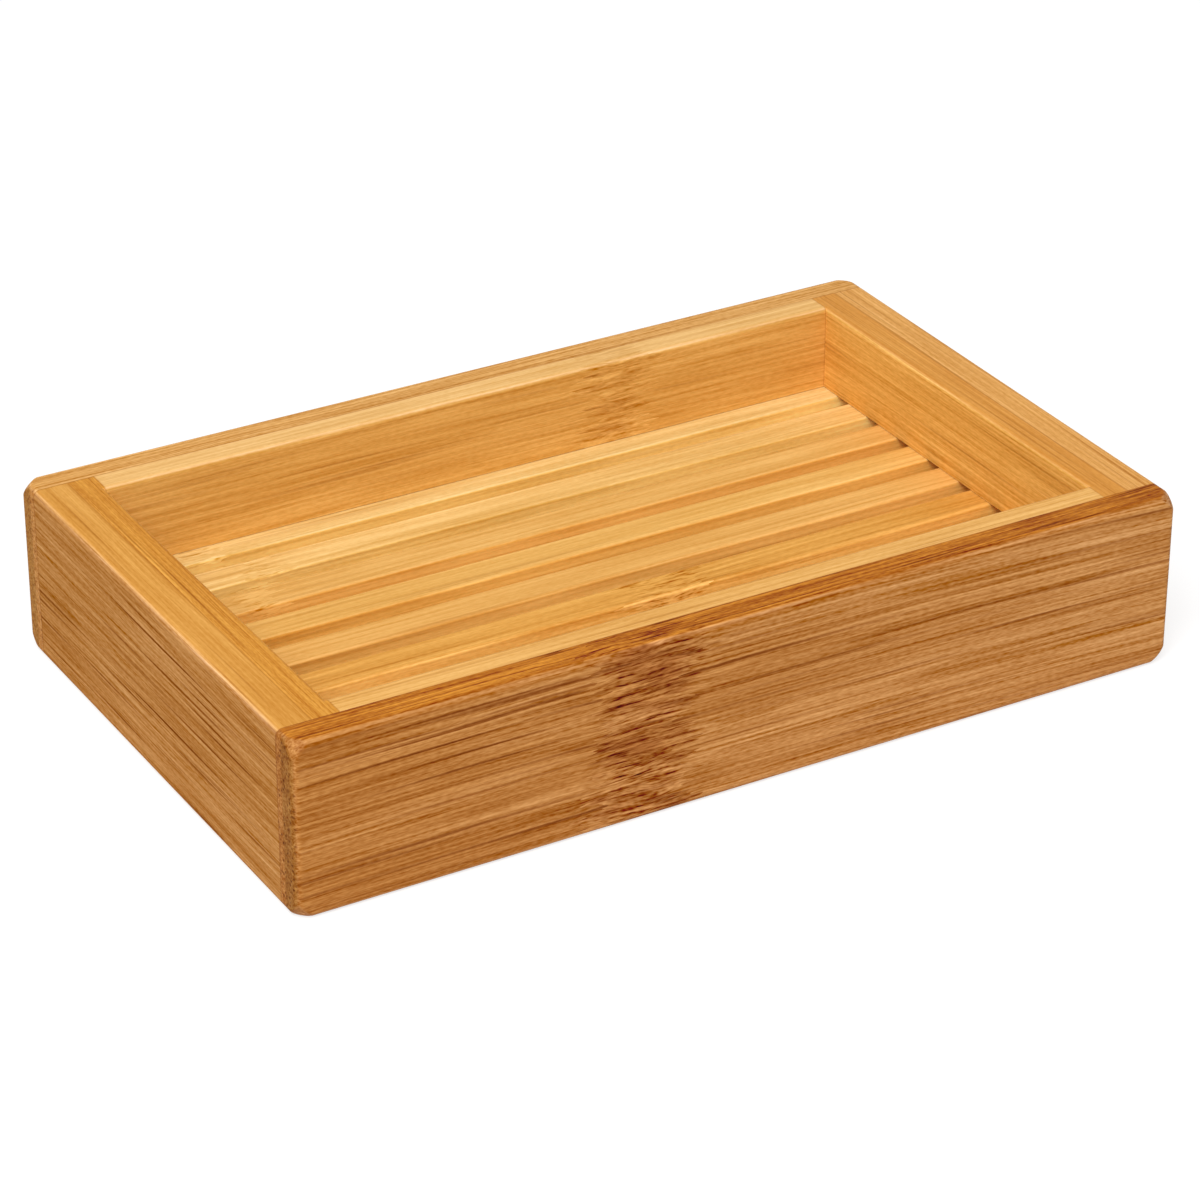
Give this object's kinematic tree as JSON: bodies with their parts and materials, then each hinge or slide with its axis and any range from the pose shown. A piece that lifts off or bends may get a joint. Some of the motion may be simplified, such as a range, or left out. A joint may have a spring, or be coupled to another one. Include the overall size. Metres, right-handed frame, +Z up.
{
  "type": "soap dish",
  "caption": "Low rectangular bamboo soap dish: a rebated frame of laminated rails round a sunken floor of parallel draining slats.",
  "frame": {"origin": "middle of the footprint, on the surface the dish stands on", "axes": "+X along the long rails to the right, +Y from front to back, +Z up"},
  "size_m": [0.13, 0.08, 0.025],
  "materials": {
    "bamboo_dark": "satin, carbonised bamboo with long dark fibres",
    "bamboo_tan": "satin, toasted bamboo with long fibres",
    "bamboo_honey": "satin, honey-coloured bamboo",
    "bamboo_pale": "satin, pale bamboo",
    "bamboo_slat": "satin, pale bamboo with fine streaks"
  },
  "bodies": {
    "root": {"front_outer_ply": "bamboo_dark", "front_inner_ply": "bamboo_pale", "back_outer_ply": "bamboo_tan", "back_inner_ply": "bamboo_pale", "left_outer_ply": "bamboo_tan", "left_inner_ply": "bamboo_honey", "right_outer_ply": "bamboo_tan", "right_inner_ply": "bamboo_honey", "slat_1": "bamboo_slat", "slat_2": "bamboo_slat", "slat_3": "bamboo_slat", "slat_4": "bamboo_slat", "slat_5": "bamboo_slat", "slat_6": "bamboo_slat", "slat_7": "bamboo_slat", "slat_8": "bamboo_slat", "slat_9": "bamboo_slat"}
  },
  "joints": []
}
